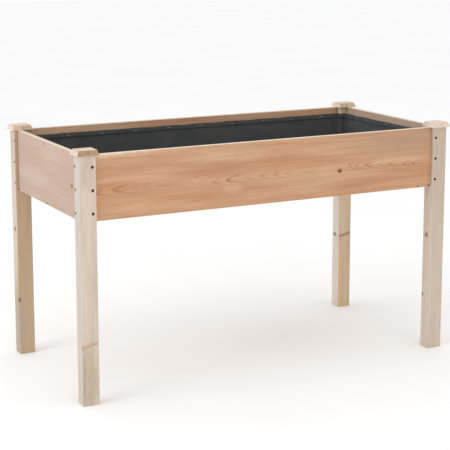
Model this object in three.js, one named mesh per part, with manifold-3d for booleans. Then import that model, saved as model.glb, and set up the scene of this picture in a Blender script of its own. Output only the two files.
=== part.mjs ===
import * as THREE from "three";
import { mergeVertices } from "three/addons/utils/BufferGeometryUtils.js";
import Module from "manifold-3d";

// A raised planter on legs, in millimetres, +Z up. It stands on Z = 0, centred on the Z axis,
// with its long sides along X and its front towards -Y. Four posts carry a board on each side in
// stopped grooves, and the boards carry ledgers, floor slats and a fabric liner.

// Frame
const bedLength = 1200; // over the outer faces of the posts, along X
const bedWidth = 570; // over the outer faces of the posts, along Y
const postWidth = 48; // along X
const postDepth = 40; // along Y
const postHeight = 698; // floor to the underside of the caps

// Side boards, flush with the tops of the posts
const panelHeight = 183;
const panelThickness = 15;
const panelInset = 9.5; // outer face of a board behind the outer face of its posts
const grooveCore = 3.5; // wood between the end of one board and the inner face of the next

// Post caps, a flat top with four sloping sides
const capOverhang = 9; // past each face of its post
const capSlope = 6; // how far each side leans in
const capHeight = 15;

// Ledgers, nailed along the inside of each board to carry the floor
const ledgerDepth = 22;
const ledgerHeight = 26;
const ledgerRise = 4; // underside of a ledger above the lower edge of its board

// Floor slats, laid across the bed with gaps that let water out
const slatCount = 9;
const slatThickness = 12;
const slatGap = 7;

// Fabric liner, an open tray that follows the boards and the posts
const linerThickness = 1.2;
const linerDrop = 20; // rim below the top edge of the boards

// Countersunk screws, through a post and the tongue inside it
const screwsPerJoint = 3;
const screwLength = 32;
const screwHeadRadius = 4;
const screwHeadDepth = 2.8;
const screwHeadRim = 0.4; // straight edge of the head above its cone
const screwShankRadius = 2;
const screwPointLength = 5;
const screwSink = 1; // head below the face of the post
const screwTopMargin = 32; // top edge of a board to its first screw
const screwLowMargin = 23; // lower edge of a board to its last screw
const recessLength = 4.6; // the cross-shaped drive in the head
const recessWidth = 1.1;
const recessDepth = 1.7;

// Brads, driven at a slant through two sides of a cap
const bradLength = 26;
const bradHeadRadius = 1.5;
const bradHeadRim = 1;
const bradHeadDepth = 1.4; // rim and the neck under it
const bradShankRadius = 0.9;
const bradPointLength = 2.5;
const bradSink = 0.6;
const bradSlant = Math.PI / 4;
const bradWall = 1.5; // wood between a brad and the groove beside it

// Clearances
const touchGap = 0.3; // between pieces that touch
const ledgerEndGap = 1;
const slatEdgeGap = 2; // between the floor and what stands round it
const linerGap = 0.5;
const holeMouth = 6; // how far a drilled hole is cut past the head of its fastener
const overcut = 1; // how far a cut runs out through an open face

// Places that follow from the sizes above
const panelFoot = postHeight - panelHeight;
const boardBack = panelInset + panelThickness; // inner face of a board, from a post's outer face
const boardStop = boardBack + grooveCore; // end of a board, from a post's outer face
const innerLength = bedLength - 2 * boardBack;
const innerWidth = bedWidth - 2 * boardBack;
const ledgerTop = panelFoot + ledgerRise + ledgerHeight;
const floorTop = ledgerTop + touchGap + slatThickness;
const postOffsetX = (bedLength - postWidth) / 2;
const postOffsetY = (bedWidth - postDepth) / 2;
const capWidth = postWidth + 2 * capOverhang;
const capDepth = postDepth + 2 * capOverhang;

const wasm = await Module();
wasm.setup();

// A closed geometry as a solid that can be joined and cut.
function toSolid(geometry) {
  const bare = geometry.clone();
  bare.deleteAttribute("normal");
  bare.deleteAttribute("uv");
  const merged = mergeVertices(bare);
  const index = merged.index.array;
  const triangles = [];
  for (let i = 0; i < index.length; i += 3) {
    const [a, b, c] = index.slice(i, i + 3);
    if (a !== b && b !== c && c !== a) triangles.push(a, b, c);
  }
  const mesh = new wasm.Mesh({
    numProp: 3,
    vertProperties: merged.attributes.position.array,
    triVerts: new Uint32Array(triangles),
  });
  return new wasm.Manifold(mesh);
}

// The solid back as a flat-shaded geometry.
function toGeometry(solid) {
  const { vertProperties, triVerts } = solid.getMesh();
  const indexed = new THREE.BufferGeometry();
  indexed.setAttribute("position", new THREE.BufferAttribute(vertProperties, 3));
  indexed.setIndex(new THREE.BufferAttribute(triVerts, 1));
  const geometry = indexed.toNonIndexed();
  geometry.computeVertexNormals();
  return geometry;
}

function subtract(geometry, cutters) {
  let solid = toSolid(geometry);
  for (const cutter of cutters) solid = solid.subtract(toSolid(cutter));
  return toGeometry(solid);
}

// A box given by its size and the middle of its lower face.
function block(sizeX, sizeY, sizeZ, x = 0, y = 0, z = 0) {
  return new THREE.BoxGeometry(sizeX, sizeY, sizeZ).translate(x, y, z + sizeZ / 2);
}

// A round fastener along Y with its point down and the top of its head at Y = 0. A grow value
// makes its clearance hole instead, wider all round and open past the head.
function turned(size, sides, grow = 0) {
  const head = size.headRadius + grow;
  const shank = size.shankRadius + grow;
  const end = -size.length - grow;
  const mouth = grow > 0 ? holeMouth : 0;
  const coneTop = -size.headRim - grow;
  const outline = [
    [0, end],
    [shank, end + size.pointLength],
    [shank, -size.headDepth - grow],
    [head, coneTop],
    [head, mouth],
    [0, mouth],
  ];
  const points = outline.map(([x, y]) => new THREE.Vector2(x, y));
  return new THREE.LatheGeometry(points, sides);
}

const screwSize = {
  length: screwLength,
  pointLength: screwPointLength,
  headRadius: screwHeadRadius,
  headDepth: screwHeadDepth,
  headRim: screwHeadRim,
  shankRadius: screwShankRadius,
};
const bradSize = {
  length: bradLength,
  pointLength: bradPointLength,
  headRadius: bradHeadRadius,
  headDepth: bradHeadDepth,
  headRim: bradHeadRim,
  shankRadius: bradShankRadius,
};
const screwSides = 10;
const bradSides = 6;

function screwGeometry() {
  const slotHeight = 2 * recessDepth;
  const slots = [
    new THREE.BoxGeometry(recessLength, slotHeight, recessWidth),
    new THREE.BoxGeometry(recessWidth, slotHeight, recessLength),
  ];
  return subtract(turned(screwSize, screwSides), slots);
}

// A post in its own frame: its outer faces are -X and -Y, and the boards enter through +X and +Y.
function postGeometry(sizeX, sizeY) {
  const slotWidth = panelThickness + 2 * touchGap;
  const slotFoot = panelFoot - touchGap;
  const slotHeight = panelHeight + touchGap + overcut;
  const boardMiddle = panelInset + panelThickness / 2;
  const slotEnd = boardStop - touchGap;
  const lengthX = sizeX - slotEnd + overcut;
  const lengthY = sizeY - slotEnd + overcut;
  const [cornerX, cornerY] = [-sizeX / 2, -sizeY / 2];
  const alongX = block(lengthX, slotWidth, slotHeight);
  const alongY = block(slotWidth, lengthY, slotHeight);
  alongX.translate(cornerX + slotEnd + lengthX / 2, cornerY + boardMiddle, slotFoot);
  alongY.translate(cornerX + boardMiddle, cornerY + slotEnd + lengthY / 2, slotFoot);
  return subtract(block(sizeX, sizeY, postHeight), [alongX, alongY]);
}

// A cap: a block whose upper corners are moved in by the slope.
function capGeometry() {
  const geometry = block(capWidth, capDepth, capHeight);
  const places = geometry.attributes.position;
  for (let i = 0; i < places.count; i++) {
    if (places.getZ(i) < capHeight / 2) continue;
    const [x, y] = [places.getX(i), places.getY(i)];
    places.setXY(i, x - Math.sign(x) * capSlope, y - Math.sign(y) * capSlope);
  }
  return geometry;
}

// A rectangle about the origin with a square bite out of each corner.
function notchedOutline(halfX, halfY, bitX, bitY) {
  const shape = new THREE.Shape();
  shape.moveTo(-halfX + bitX, -halfY);
  shape.lineTo(halfX - bitX, -halfY);
  shape.lineTo(halfX - bitX, -halfY + bitY);
  shape.lineTo(halfX, -halfY + bitY);
  shape.lineTo(halfX, halfY - bitY);
  shape.lineTo(halfX - bitX, halfY - bitY);
  shape.lineTo(halfX - bitX, halfY);
  shape.lineTo(-halfX + bitX, halfY);
  shape.lineTo(-halfX + bitX, halfY - bitY);
  shape.lineTo(-halfX, halfY - bitY);
  shape.lineTo(-halfX, -halfY + bitY);
  shape.lineTo(-halfX + bitX, -halfY + bitY);
  shape.closePath();
  return shape;
}

function extrude(shape, depth) {
  return new THREE.ExtrudeGeometry(shape, { depth, bevelEnabled: false });
}

// The liner: a tray whose wall keeps clear of the boards and of the post corners between them.
function linerGeometry() {
  const height = postHeight - linerDrop - floorTop - touchGap;
  const halfX = innerLength / 2 - linerGap;
  const halfY = innerWidth / 2 - linerGap;
  const biteX = postWidth - boardBack; // a post's corner inside the bed
  const biteY = postDepth - boardBack;
  const hollow = extrude(
    notchedOutline(halfX - linerThickness, halfY - linerThickness, biteX, biteY),
    height,
  );
  hollow.translate(0, 0, linerThickness);
  return subtract(extrude(notchedOutline(halfX, halfY, biteX, biteY), height), [hollow]);
}

// A floor slat across the bed. The two end slats are cut round the posts, on the side given
// by outward, -1 or 1.
function slatGeometry(width, outward) {
  const length = innerWidth - 2 * slatEdgeGap;
  const slat = block(width, length, slatThickness);
  if (!outward) return slat;
  const biteX = 2 * (postWidth - boardBack); // twice the notch, centred on the slat's corner
  const biteY = 2 * (postDepth - boardBack);
  const biteHeight = slatThickness + 2 * overcut;
  const bites = [-1, 1].map((side) =>
    block(biteX, biteY, biteHeight, (outward * width) / 2, (side * length) / 2, -overcut),
  );
  return subtract(slat, bites);
}

const finishes = {
  post: { color: 0xdcc8ab, roughness: 0.72, metalness: 0 },
  cap: { color: 0xd8bb97, roughness: 0.7, metalness: 0 },
  longBoard: { color: 0xd0a27b, roughness: 0.68, metalness: 0 },
  endBoard: { color: 0xd2b096, roughness: 0.7, metalness: 0 },
  batten: { color: 0xd3b892, roughness: 0.75, metalness: 0 },
  screw: { color: 0x4b3a2b, roughness: 0.42, metalness: 0.8 },
  brad: { color: 0x7d6a55, roughness: 0.45, metalness: 0.8 },
  liner: { color: 0x3c3f40, roughness: 0.95, metalness: 0 },
};

const planter = new THREE.Group();
const timber = []; // pieces that fasteners are driven into
const fasteners = [];

function addPiece(parent, name, geometry, finish, x = 0, y = 0, z = 0) {
  const mesh = new THREE.Mesh(geometry, new THREE.MeshStandardMaterial(finishes[finish]));
  mesh.name = name;
  mesh.position.set(x, y, z);
  parent.add(mesh);
  return mesh;
}

function addTimber(parent, name, geometry, finish, x, y, z) {
  const mesh = addPiece(parent, name, geometry, finish, x, y, z);
  timber.push(mesh);
  return mesh;
}

function addFastener(parent, name, geometry, finish, hole) {
  const mesh = addPiece(parent, name, geometry, finish);
  mesh.userData.hole = hole;
  fasteners.push(mesh);
  return mesh;
}

// Heights of the screws in one joint, from the lowest up.
function screwHeights() {
  const low = panelFoot + screwLowMargin;
  const high = postHeight - screwTopMargin;
  return Array.from({ length: screwsPerJoint }, (_, i) => {
    const along = screwsPerJoint > 1 ? i / (screwsPerJoint - 1) : 0.5;
    return low + along * (high - low);
  });
}

// One corner: a post with the screws that pin both boards, turned so its outer faces look out.
function addCorner(corner) {
  const turnedCorner = corner.quarterTurns % 2 === 1;
  const sizeX = turnedCorner ? postDepth : postWidth;
  const sizeY = turnedCorner ? postWidth : postDepth;
  const post = new THREE.Group();
  post.position.set(corner.sideX * postOffsetX, corner.sideY * postOffsetY, 0);
  post.rotation.z = corner.quarterTurns * (Math.PI / 2);
  planter.add(post);
  addTimber(post, "post_" + corner.name, postGeometry(sizeX, sizeY), "post");

  const boards = turnedCorner ? ["end", "long"] : ["long", "end"];
  const hole = turned(screwSize, screwSides, touchGap);
  screwHeights().forEach((height, i) => {
    const names = boards.map((board) => `screw_${corner.name}_${board}_${i + 1}`);
    const first = addFastener(post, names[0], screwGeometry(), "screw", hole);
    first.position.set(boardStop / 2, -sizeY / 2 + screwSink, height);
    first.rotation.z = Math.PI;
    const second = addFastener(post, names[1], screwGeometry(), "screw", hole);
    second.position.set(-sizeX / 2 + screwSink, boardStop / 2, height);
    second.rotation.z = Math.PI / 2;
  });
}

// A cap with a brad through its front and its rear slope, down into the post. The brad on the
// outer slope is central. The one on the inner slope stands to the bed's side of the groove.
function addCap(corner) {
  const cap = new THREE.Group();
  cap.position.set(
    corner.sideX * postOffsetX,
    corner.sideY * postOffsetY,
    postHeight + touchGap,
  );
  planter.add(cap);
  addTimber(cap, "cap_" + corner.name, capGeometry(), "cap");

  const slopeMiddle = (capDepth - capSlope) / 2;
  const besideGroove = boardBack + touchGap + bradWall + bradShankRadius - postWidth / 2;
  for (const [label, side] of [["front", -1], ["rear", 1]]) {
    const shift = side === corner.sideY ? 0 : -corner.sideX * besideGroove;
    const name = `brad_${corner.name}_${label}`;
    const hole = turned(bradSize, bradSides, touchGap);
    const brad = addFastener(cap, name, turned(bradSize, bradSides), "brad", hole);
    const headY = slopeMiddle - bradSink * Math.sin(bradSlant);
    const headZ = capHeight / 2 - bradSink * Math.cos(bradSlant);
    brad.position.set(shift, side * headY, headZ);
    brad.rotation.x = Math.PI / 2 - side * bradSlant;
  }
}

function addBoards() {
  const outOfPlane = panelInset + panelThickness / 2;
  const longBoard = block(bedLength - 2 * boardStop, panelThickness, panelHeight);
  const endBoard = block(panelThickness, bedWidth - 2 * boardStop, panelHeight);
  const longY = bedWidth / 2 - outOfPlane;
  const endX = bedLength / 2 - outOfPlane;
  addTimber(planter, "panel_front", longBoard.clone(), "longBoard", 0, -longY, panelFoot);
  addTimber(planter, "panel_rear", longBoard.clone(), "longBoard", 0, longY, panelFoot);
  addTimber(planter, "panel_left", endBoard.clone(), "endBoard", -endX, 0, panelFoot);
  addTimber(planter, "panel_right", endBoard.clone(), "endBoard", endX, 0, panelFoot);
}

// The long ledgers run between the posts. The end ledgers stop at whichever stands further in,
// the posts or the long ledgers.
function addLedgers() {
  const ledgerBack = boardBack + touchGap + ledgerDepth;
  const endStop = Math.max(postDepth, ledgerBack) + ledgerEndGap;
  const longLedger = block(bedLength - 2 * (postWidth + ledgerEndGap), ledgerDepth, ledgerHeight);
  const endLedger = block(ledgerDepth, bedWidth - 2 * endStop, ledgerHeight);
  const longY = bedWidth / 2 - ledgerBack + ledgerDepth / 2;
  const endX = bedLength / 2 - ledgerBack + ledgerDepth / 2;
  const foot = panelFoot + ledgerRise;
  addPiece(planter, "ledger_front", longLedger.clone(), "batten", 0, -longY, foot);
  addPiece(planter, "ledger_rear", longLedger.clone(), "batten", 0, longY, foot);
  addPiece(planter, "ledger_left", endLedger.clone(), "batten", -endX, 0, foot);
  addPiece(planter, "ledger_right", endLedger.clone(), "batten", endX, 0, foot);
}

function addFloor() {
  const run = innerLength - 2 * slatEdgeGap;
  const width = (run - (slatCount - 1) * slatGap) / slatCount;
  for (let i = 0; i < slatCount; i++) {
    const x = -run / 2 + width / 2 + i * (width + slatGap);
    const outward = i === 0 ? -1 : i === slatCount - 1 ? 1 : 0;
    const slat = slatGeometry(width, outward);
    addPiece(planter, `slat_${i + 1}`, slat, "batten", x, 0, floorTop - slatThickness);
  }
}

// Cuts the clearance hole of every fastener that reaches a piece out of that piece.
function drill(piece) {
  const bounds = new THREE.Box3().setFromObject(piece);
  const intoPiece = piece.matrixWorld.clone().invert();
  const holes = [];
  for (const fastener of fasteners) {
    const hole = fastener.userData.hole;
    hole.computeBoundingBox();
    const reach = hole.boundingBox.clone().applyMatrix4(fastener.matrixWorld);
    if (!bounds.intersectsBox(reach)) continue;
    const place = intoPiece.clone().multiply(fastener.matrixWorld);
    holes.push(hole.clone().applyMatrix4(place));
  }
  if (holes.length) piece.geometry = subtract(piece.geometry, holes);
}

const corners = [
  { name: "front_left", sideX: -1, sideY: -1, quarterTurns: 0 },
  { name: "front_right", sideX: 1, sideY: -1, quarterTurns: 1 },
  { name: "rear_right", sideX: 1, sideY: 1, quarterTurns: 2 },
  { name: "rear_left", sideX: -1, sideY: 1, quarterTurns: 3 },
];

for (const corner of corners) {
  addCorner(corner);
  addCap(corner);
}
addBoards();
addLedgers();
addFloor();
addPiece(planter, "bed_liner", linerGeometry(), "liner", 0, 0, floorTop + touchGap);

planter.updateMatrixWorld(true);
timber.forEach(drill);

export default planter;
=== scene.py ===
import math

import bpy
import numpy as np
from mathutils import Matrix, Vector


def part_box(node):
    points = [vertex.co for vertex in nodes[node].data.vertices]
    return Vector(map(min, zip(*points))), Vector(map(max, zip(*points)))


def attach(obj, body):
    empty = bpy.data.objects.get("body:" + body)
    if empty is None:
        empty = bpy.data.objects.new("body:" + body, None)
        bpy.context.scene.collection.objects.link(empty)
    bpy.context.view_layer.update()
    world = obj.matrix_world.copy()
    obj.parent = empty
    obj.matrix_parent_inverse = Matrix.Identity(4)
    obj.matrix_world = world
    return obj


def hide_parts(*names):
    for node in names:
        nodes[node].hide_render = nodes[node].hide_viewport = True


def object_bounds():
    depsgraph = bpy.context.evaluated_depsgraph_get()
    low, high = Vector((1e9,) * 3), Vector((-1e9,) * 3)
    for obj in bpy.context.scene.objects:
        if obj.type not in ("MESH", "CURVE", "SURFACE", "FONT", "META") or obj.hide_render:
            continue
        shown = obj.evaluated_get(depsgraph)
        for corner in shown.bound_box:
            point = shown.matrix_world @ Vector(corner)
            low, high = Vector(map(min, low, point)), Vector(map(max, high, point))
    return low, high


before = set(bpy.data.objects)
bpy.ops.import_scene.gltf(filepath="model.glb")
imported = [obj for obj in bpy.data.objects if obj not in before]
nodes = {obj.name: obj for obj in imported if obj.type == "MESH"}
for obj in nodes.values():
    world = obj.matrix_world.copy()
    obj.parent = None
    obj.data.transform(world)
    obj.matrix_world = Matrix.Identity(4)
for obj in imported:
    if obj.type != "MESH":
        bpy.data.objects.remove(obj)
cadLow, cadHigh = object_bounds()
print("frame loaded,", len(nodes), "nodes")


def namesFrom(*prefixes):
    return [name for name in sorted(nodes) if name.startswith(prefixes)]


# Camera: it looks at a point under the rim, from the left and a little above.

cameraLook = {
    "azimuth": -27.39,      # degrees, 0 is straight on to the front board
    "elevation": 10.14,
    "distance": 4.1242,     # metres to the aim point
    "aimAside": -0.0155,    # metres from the middle of the planter
    "aimDrop": 0.1476,      # metres under the top of the planter
    "lens": 108.05,
    "frameShift": -0.12,
}


def makeCamera(look):
    aim = (cadLow + cadHigh) / 2
    aim.x += look["aimAside"]
    aim.z = cadHigh.z - look["aimDrop"]
    turn, tilt = math.radians(look["azimuth"]), math.radians(look["elevation"])
    back = Vector((math.sin(turn) * math.cos(tilt), -math.cos(turn) * math.cos(tilt), math.sin(tilt)))
    data = bpy.data.cameras.new("camera")
    data.lens = look["lens"]
    data.shift_y = look["frameShift"]
    camera = bpy.data.objects.new("camera", data)
    camera.location = aim + back * look["distance"]
    camera.rotation_euler = (-back).to_track_quat("-Z", "Y").to_euler()
    bpy.context.scene.collection.objects.link(camera)
    bpy.context.scene.camera = camera


makeCamera(cameraLook)
print("camera placed")


# Small helpers for wiring shader nodes.

def setInput(tree, socket, value):
    if isinstance(value, bpy.types.NodeSocket):
        tree.links.new(value, socket)
    elif socket.type == "RGBA" and len(value) == 3:
        socket.default_value = (*value, 1)
    else:
        socket.default_value = value


def addNode(tree, kind, inputs=None, **settings):
    node = tree.nodes.new(kind)
    for name, value in settings.items():
        setattr(node, name, value)
    for name, value in (inputs or {}).items():
        setInput(tree, node.inputs[name], value)
    return node


def maths(tree, operation, *values):
    node = addNode(tree, "ShaderNodeMath", operation=operation)
    for socket, value in zip(node.inputs, values):
        setInput(tree, socket, value)
    return node.outputs[0]


def times(tree, first, second):
    return maths(tree, "MULTIPLY", first, second)


def plus(tree, first, second):
    return maths(tree, "ADD", first, second)


def minus(tree, first, second):
    return maths(tree, "SUBTRACT", first, second)


def timesPlus(tree, first, second, third):
    return maths(tree, "MULTIPLY_ADD", first, second, third)


def vectorMaths(tree, operation, *values):
    node = addNode(tree, "ShaderNodeVectorMath", operation=operation)
    for socket, value in zip(node.inputs, values):
        setInput(tree, socket, value)
    scalar = operation in ("LENGTH", "DOT_PRODUCT")
    return node.outputs["Value" if scalar else "Vector"]


def splitVector(tree, vector):
    return addNode(tree, "ShaderNodeSeparateXYZ", {"Vector": vector}).outputs


def joinVector(tree, x, y, z):
    return addNode(tree, "ShaderNodeCombineXYZ", {"X": x, "Y": y, "Z": z}).outputs[0]


def smoothStep(tree, value, start, end, low=0.0, high=1.0):
    node = addNode(tree, "ShaderNodeMapRange", {
        "Value": value, "From Min": start, "From Max": end, "To Min": low, "To Max": high},
        interpolation_type="SMOOTHSTEP", clamp=True)
    return node.outputs["Result"]


def noise(tree, vector, stretch, detail=2.0, roughness=0.5, distortion=0.0, output="Fac"):
    spread = vectorMaths(tree, "MULTIPLY", vector, stretch)
    node = addNode(tree, "ShaderNodeTexNoise", {
        "Vector": spread, "Scale": 1.0, "Detail": detail, "Roughness": roughness, "Distortion": distortion})
    return node.outputs[output]


def mixColour(tree, factor, first, second, blend="MIX"):
    node = addNode(tree, "ShaderNodeMix", data_type="RGBA", blend_type=blend, clamp_factor=True)
    for socket, value in zip((node.inputs[0], node.inputs[6], node.inputs[7]), (factor, first, second)):
        setInput(tree, socket, value)
    return node.outputs[2]


def newGroup(name, inputs, outputs):
    # Inputs are names with their defaults, numbers or vectors. Outputs are the names of numbers.
    group = bpy.data.node_groups.new(name, "ShaderNodeTree")
    for socketName, value in inputs.items():
        kind = "NodeSocketVector" if isinstance(value, tuple) else "NodeSocketFloat"
        made = group.interface.new_socket(name=socketName, in_out="INPUT", socket_type=kind)
        made.default_value = value
    for socketName in outputs:
        group.interface.new_socket(name=socketName, in_out="OUTPUT", socket_type="NodeSocketFloat")
    given = group.nodes.new("NodeGroupInput").outputs
    result = group.nodes.new("NodeGroupOutput").inputs
    return group, given, result


def fillGroup(tree, group, inputs):
    node = addNode(tree, "ShaderNodeGroup", node_tree=group)
    for name, value in inputs.items():
        setInput(tree, node.inputs[name], value)
    return node.outputs


def newMaterial(name):
    material = bpy.data.materials.new(name)
    material.use_nodes = True
    tree = material.node_tree
    texture = addNode(tree, "ShaderNodeTexCoord").outputs
    return material, tree, tree.nodes["Principled BSDF"], texture


def addBump(tree, shader, height, strength, distance):
    bump = addNode(tree, "ShaderNodeBump", {"Height": height, "Strength": strength, "Distance": distance})
    setInput(tree, shader.inputs["Normal"], bump.outputs[0])


# Shader groups that the finishes share. In each, x runs along the grain, y across it and z out of the face.

def makeGrowthRings():
    # Rings are cylinders round a pith line that slopes and wanders: distance from it, in ring widths,
    # and the last part of each ring is the dark late wood. It fades away from the line over the pith.
    group, given, result = newGroup("growthRings", {
        "Coordinates": (0, 0, 0),
        "Push": 0.0,
        "Seed": 0.0,
        "Pith Across": 0.0,
        "Pith Depth": 0.04,
        "Slope": 0.0,
        "Wander": 0.01,
        "Ring Width": 0.004,
        "Figure": 1.0,
    }, ["Late"])
    x, y, z = splitVector(group, given["Coordinates"])[:3]
    seedPlace = joinVector(group, x, given["Seed"], times(group, given["Seed"], 0.37))
    swayColour = noise(group, seedPlace, (3.4, 1, 1), detail=3, roughness=0.45, output="Color")
    sway = splitVector(group, swayColour)
    across = minus(group, y, given["Pith Across"])
    across = timesPlus(group, minus(group, sway[0], 0.5), given["Wander"], across)
    depth = timesPlus(group, x, given["Slope"], plus(group, z, given["Pith Depth"]))
    roll = times(group, minus(group, sway[1], 0.5), 0.28)
    depth = timesPlus(group, roll, given["Wander"], depth)
    distance = vectorMaths(group, "LENGTH", joinVector(group, 0.0, across, depth))
    seedShift = joinVector(group, given["Seed"], 0.0, 0.0)
    wobblePlace = vectorMaths(group, "ADD", given["Coordinates"], seedShift)
    wobble = noise(group, wobblePlace, (9, 70, 70), detail=3, roughness=0.55)
    distance = plus(group, distance, given["Push"])
    phase = maths(group, "DIVIDE", distance, given["Ring Width"])
    phase = timesPlus(group, wobble, 1.1, phase)
    part = maths(group, "FRACT", phase)
    ringNumber = plus(group, maths(group, "FLOOR", phase), given["Seed"])
    dice = addNode(group, "ShaderNodeTexWhiteNoise", {"W": ringNumber}, noise_dimensions="1D")
    rise = smoothStep(group, part, 0.45, 0.9)
    fall = smoothStep(group, part, 0.93, 1.0, 1.0, 0.0)
    ringStrength = smoothStep(group, dice.outputs["Value"], 0.0, 0.8, 0.15, 1.0)
    late = times(group, times(group, rise, fall), ringStrength)
    aside = maths(group, "DIVIDE", maths(group, "ABSOLUTE", across), given["Figure"])
    broken = timesPlus(group, wobble, 1.2, aside)
    late = times(group, late, smoothStep(group, broken, 0.7, 1.9, 1.0, 0.22))
    setInput(group, result["Late"], late)
    return group


def makeBranchKnot():
    # A branch is a rod through the board: distance from its axis gives the knot, its rim and how far it
    # pushes the rings aside.
    group, given, result = newGroup("branchKnot", {
        "Coordinates": (0, 0, 0),
        "Centre": (0, 0, 0),
        "Axis": (0, 0, 1),
        "Radius": 0.004,
        "Reach": 0.05,
        "Swell": 0.008,
        "Softness": 0.15,
    }, ["Knot", "Rim", "Push"])
    offset = vectorMaths(group, "SUBTRACT", given["Coordinates"], given["Centre"])
    along = vectorMaths(group, "DOT_PRODUCT", offset, given["Axis"])
    onAxis = vectorMaths(group, "SCALE", given["Axis"])
    setInput(group, onAxis.node.inputs["Scale"], along)
    away = vectorMaths(group, "SUBTRACT", offset, onAxis)
    ragged = timesPlus(group, noise(group, offset, (260, 260, 260), detail=2), 0.5, 0.75)
    wide = vectorMaths(group, "LENGTH", away)
    inKnot = maths(group, "DIVIDE", times(group, wide, ragged), given["Radius"])
    reachEnd = times(group, given["Reach"], 1.25)
    withinReach = smoothStep(group, maths(group, "ABSOLUTE", along), given["Reach"], reachEnd, 1.0, 0.0)
    inner = minus(group, 0.9, given["Softness"])
    outer = plus(group, 0.9, given["Softness"])
    core = times(group, smoothStep(group, inKnot, inner, outer, 1.0, 0.0), withinReach)
    rimUp = smoothStep(group, inKnot, 0.55, 0.95)
    rimDown = smoothStep(group, inKnot, 1.0, 2.6, 1.0, 0.0)
    rim = times(group, times(group, rimUp, rimDown), withinReach)
    stretched = vectorMaths(group, "LENGTH", vectorMaths(group, "MULTIPLY", away, (0.32, 1, 1)))
    spread = maths(group, "DIVIDE", stretched, times(group, given["Radius"], 2.6))
    falloff = maths(group, "EXPONENT", times(group, maths(group, "POWER", spread, 2.0), -1.0))
    push = times(group, falloff, given["Swell"])
    setInput(group, result["Knot"], core)
    setInput(group, result["Rim"], rim)
    setInput(group, result["Push"], times(group, push, withinReach))
    return group


def makeBoardTone():
    # Broad soft bands, narrower streaks, fine fibres and a faint mottle: noise stretched along the grain.
    group, given, result = newGroup("boardTone", {
        "Coordinates": (0, 0, 0),
        "Seed": 0.0,
        "Band Width": 0.04,
    }, ["Bands", "Streaks", "Fibre", "Mottle"])
    seedShift = joinVector(group, given["Seed"], given["Seed"], given["Seed"])
    place = vectorMaths(group, "ADD", given["Coordinates"], seedShift)
    perBand = maths(group, "DIVIDE", 1.0, given["Band Width"])
    bandPlace = vectorMaths(group, "MULTIPLY", place, joinVector(group, 2.1, perBand, perBand))
    bands = noise(group, bandPlace, (1, 1, 1), detail=2.5, roughness=0.55, distortion=0.25)
    streaks = noise(group, place, (5, 150, 150), detail=3, roughness=0.6)
    fibre = noise(group, place, (40, 1300, 1300), detail=2, roughness=0.6)
    mottle = noise(group, place, (70, 130, 130), detail=3, roughness=0.65)
    setInput(group, result["Bands"], smoothStep(group, bands, 0.3, 0.7))
    setInput(group, result["Streaks"], smoothStep(group, streaks, 0.25, 0.75))
    setInput(group, result["Fibre"], fibre)
    setInput(group, result["Mottle"], smoothStep(group, mottle, 0.3, 0.7))
    return group


def makeEdgeWear():
    # Distance to the box's faces on each axis; where the two smallest are both small the point is on an
    # arris, and noise breaks the line up.
    group, given, result = newGroup("edgeWear", {
        "Coordinates": (0, 0, 0),
        "Centre": (0, 0, 0),
        "Half Size": (1, 1, 1),
        "Width": 0.002,
    }, ["Edge"])
    fromCentre = vectorMaths(group, "SUBTRACT", given["Coordinates"], given["Centre"])
    fromCentre = vectorMaths(group, "ABSOLUTE", fromCentre)
    x, y, z = splitVector(group, vectorMaths(group, "SUBTRACT", given["Half Size"], fromCentre))[:3]
    total = plus(group, plus(group, x, y), z)
    least = maths(group, "MINIMUM", maths(group, "MINIMUM", x, y), z)
    most = maths(group, "MAXIMUM", maths(group, "MAXIMUM", x, y), z)
    second = minus(group, minus(group, total, least), most)
    broken = noise(group, given["Coordinates"], (60, 60, 60), detail=3)
    reach = times(group, given["Width"], smoothStep(group, broken, 0.3, 0.7, 0.4, 1.5))
    setInput(group, result["Edge"], smoothStep(group, second, 0.0, reach, 1.0, 0.0))
    return group


def makeSoftPatch():
    # An ellipsoid with a soft edge that noise, stretched along the grain, breaks up.
    group, given, result = newGroup("softPatch", {
        "Coordinates": (0, 0, 0),
        "Centre": (0, 0, 0),
        "Reach": (0.1, 0.1, 0.1),
    }, ["Patch"])
    offset = vectorMaths(group, "SUBTRACT", given["Coordinates"], given["Centre"])
    far = vectorMaths(group, "LENGTH", vectorMaths(group, "DIVIDE", offset, given["Reach"]))
    ragged = noise(group, given["Coordinates"], (12, 90, 90), detail=3, roughness=0.6)
    far = timesPlus(group, minus(group, ragged, 0.5), 1.1, far)
    setInput(group, result["Patch"], smoothStep(group, far, 0.45, 1.2, 1.0, 0.0))
    return group


growthRings = makeGrowthRings()
branchKnot = makeBranchKnot()
boardTone = makeBoardTone()
edgeWear = makeEdgeWear()
softPatch = makeSoftPatch()
print("shader groups built")


# Timber finish

grainTurns = {              # grain direction, and the direction across the board's face
    "alongX": ((1, 0, 0), (0, 0, 1)),
    "alongY": ((0, 1, 0), (0, 0, 1)),
    "alongZ": ((0, 0, 1), (0, 1, 0)),
    "flatY": ((0, 1, 0), (1, 0, 0)),
}

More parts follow.
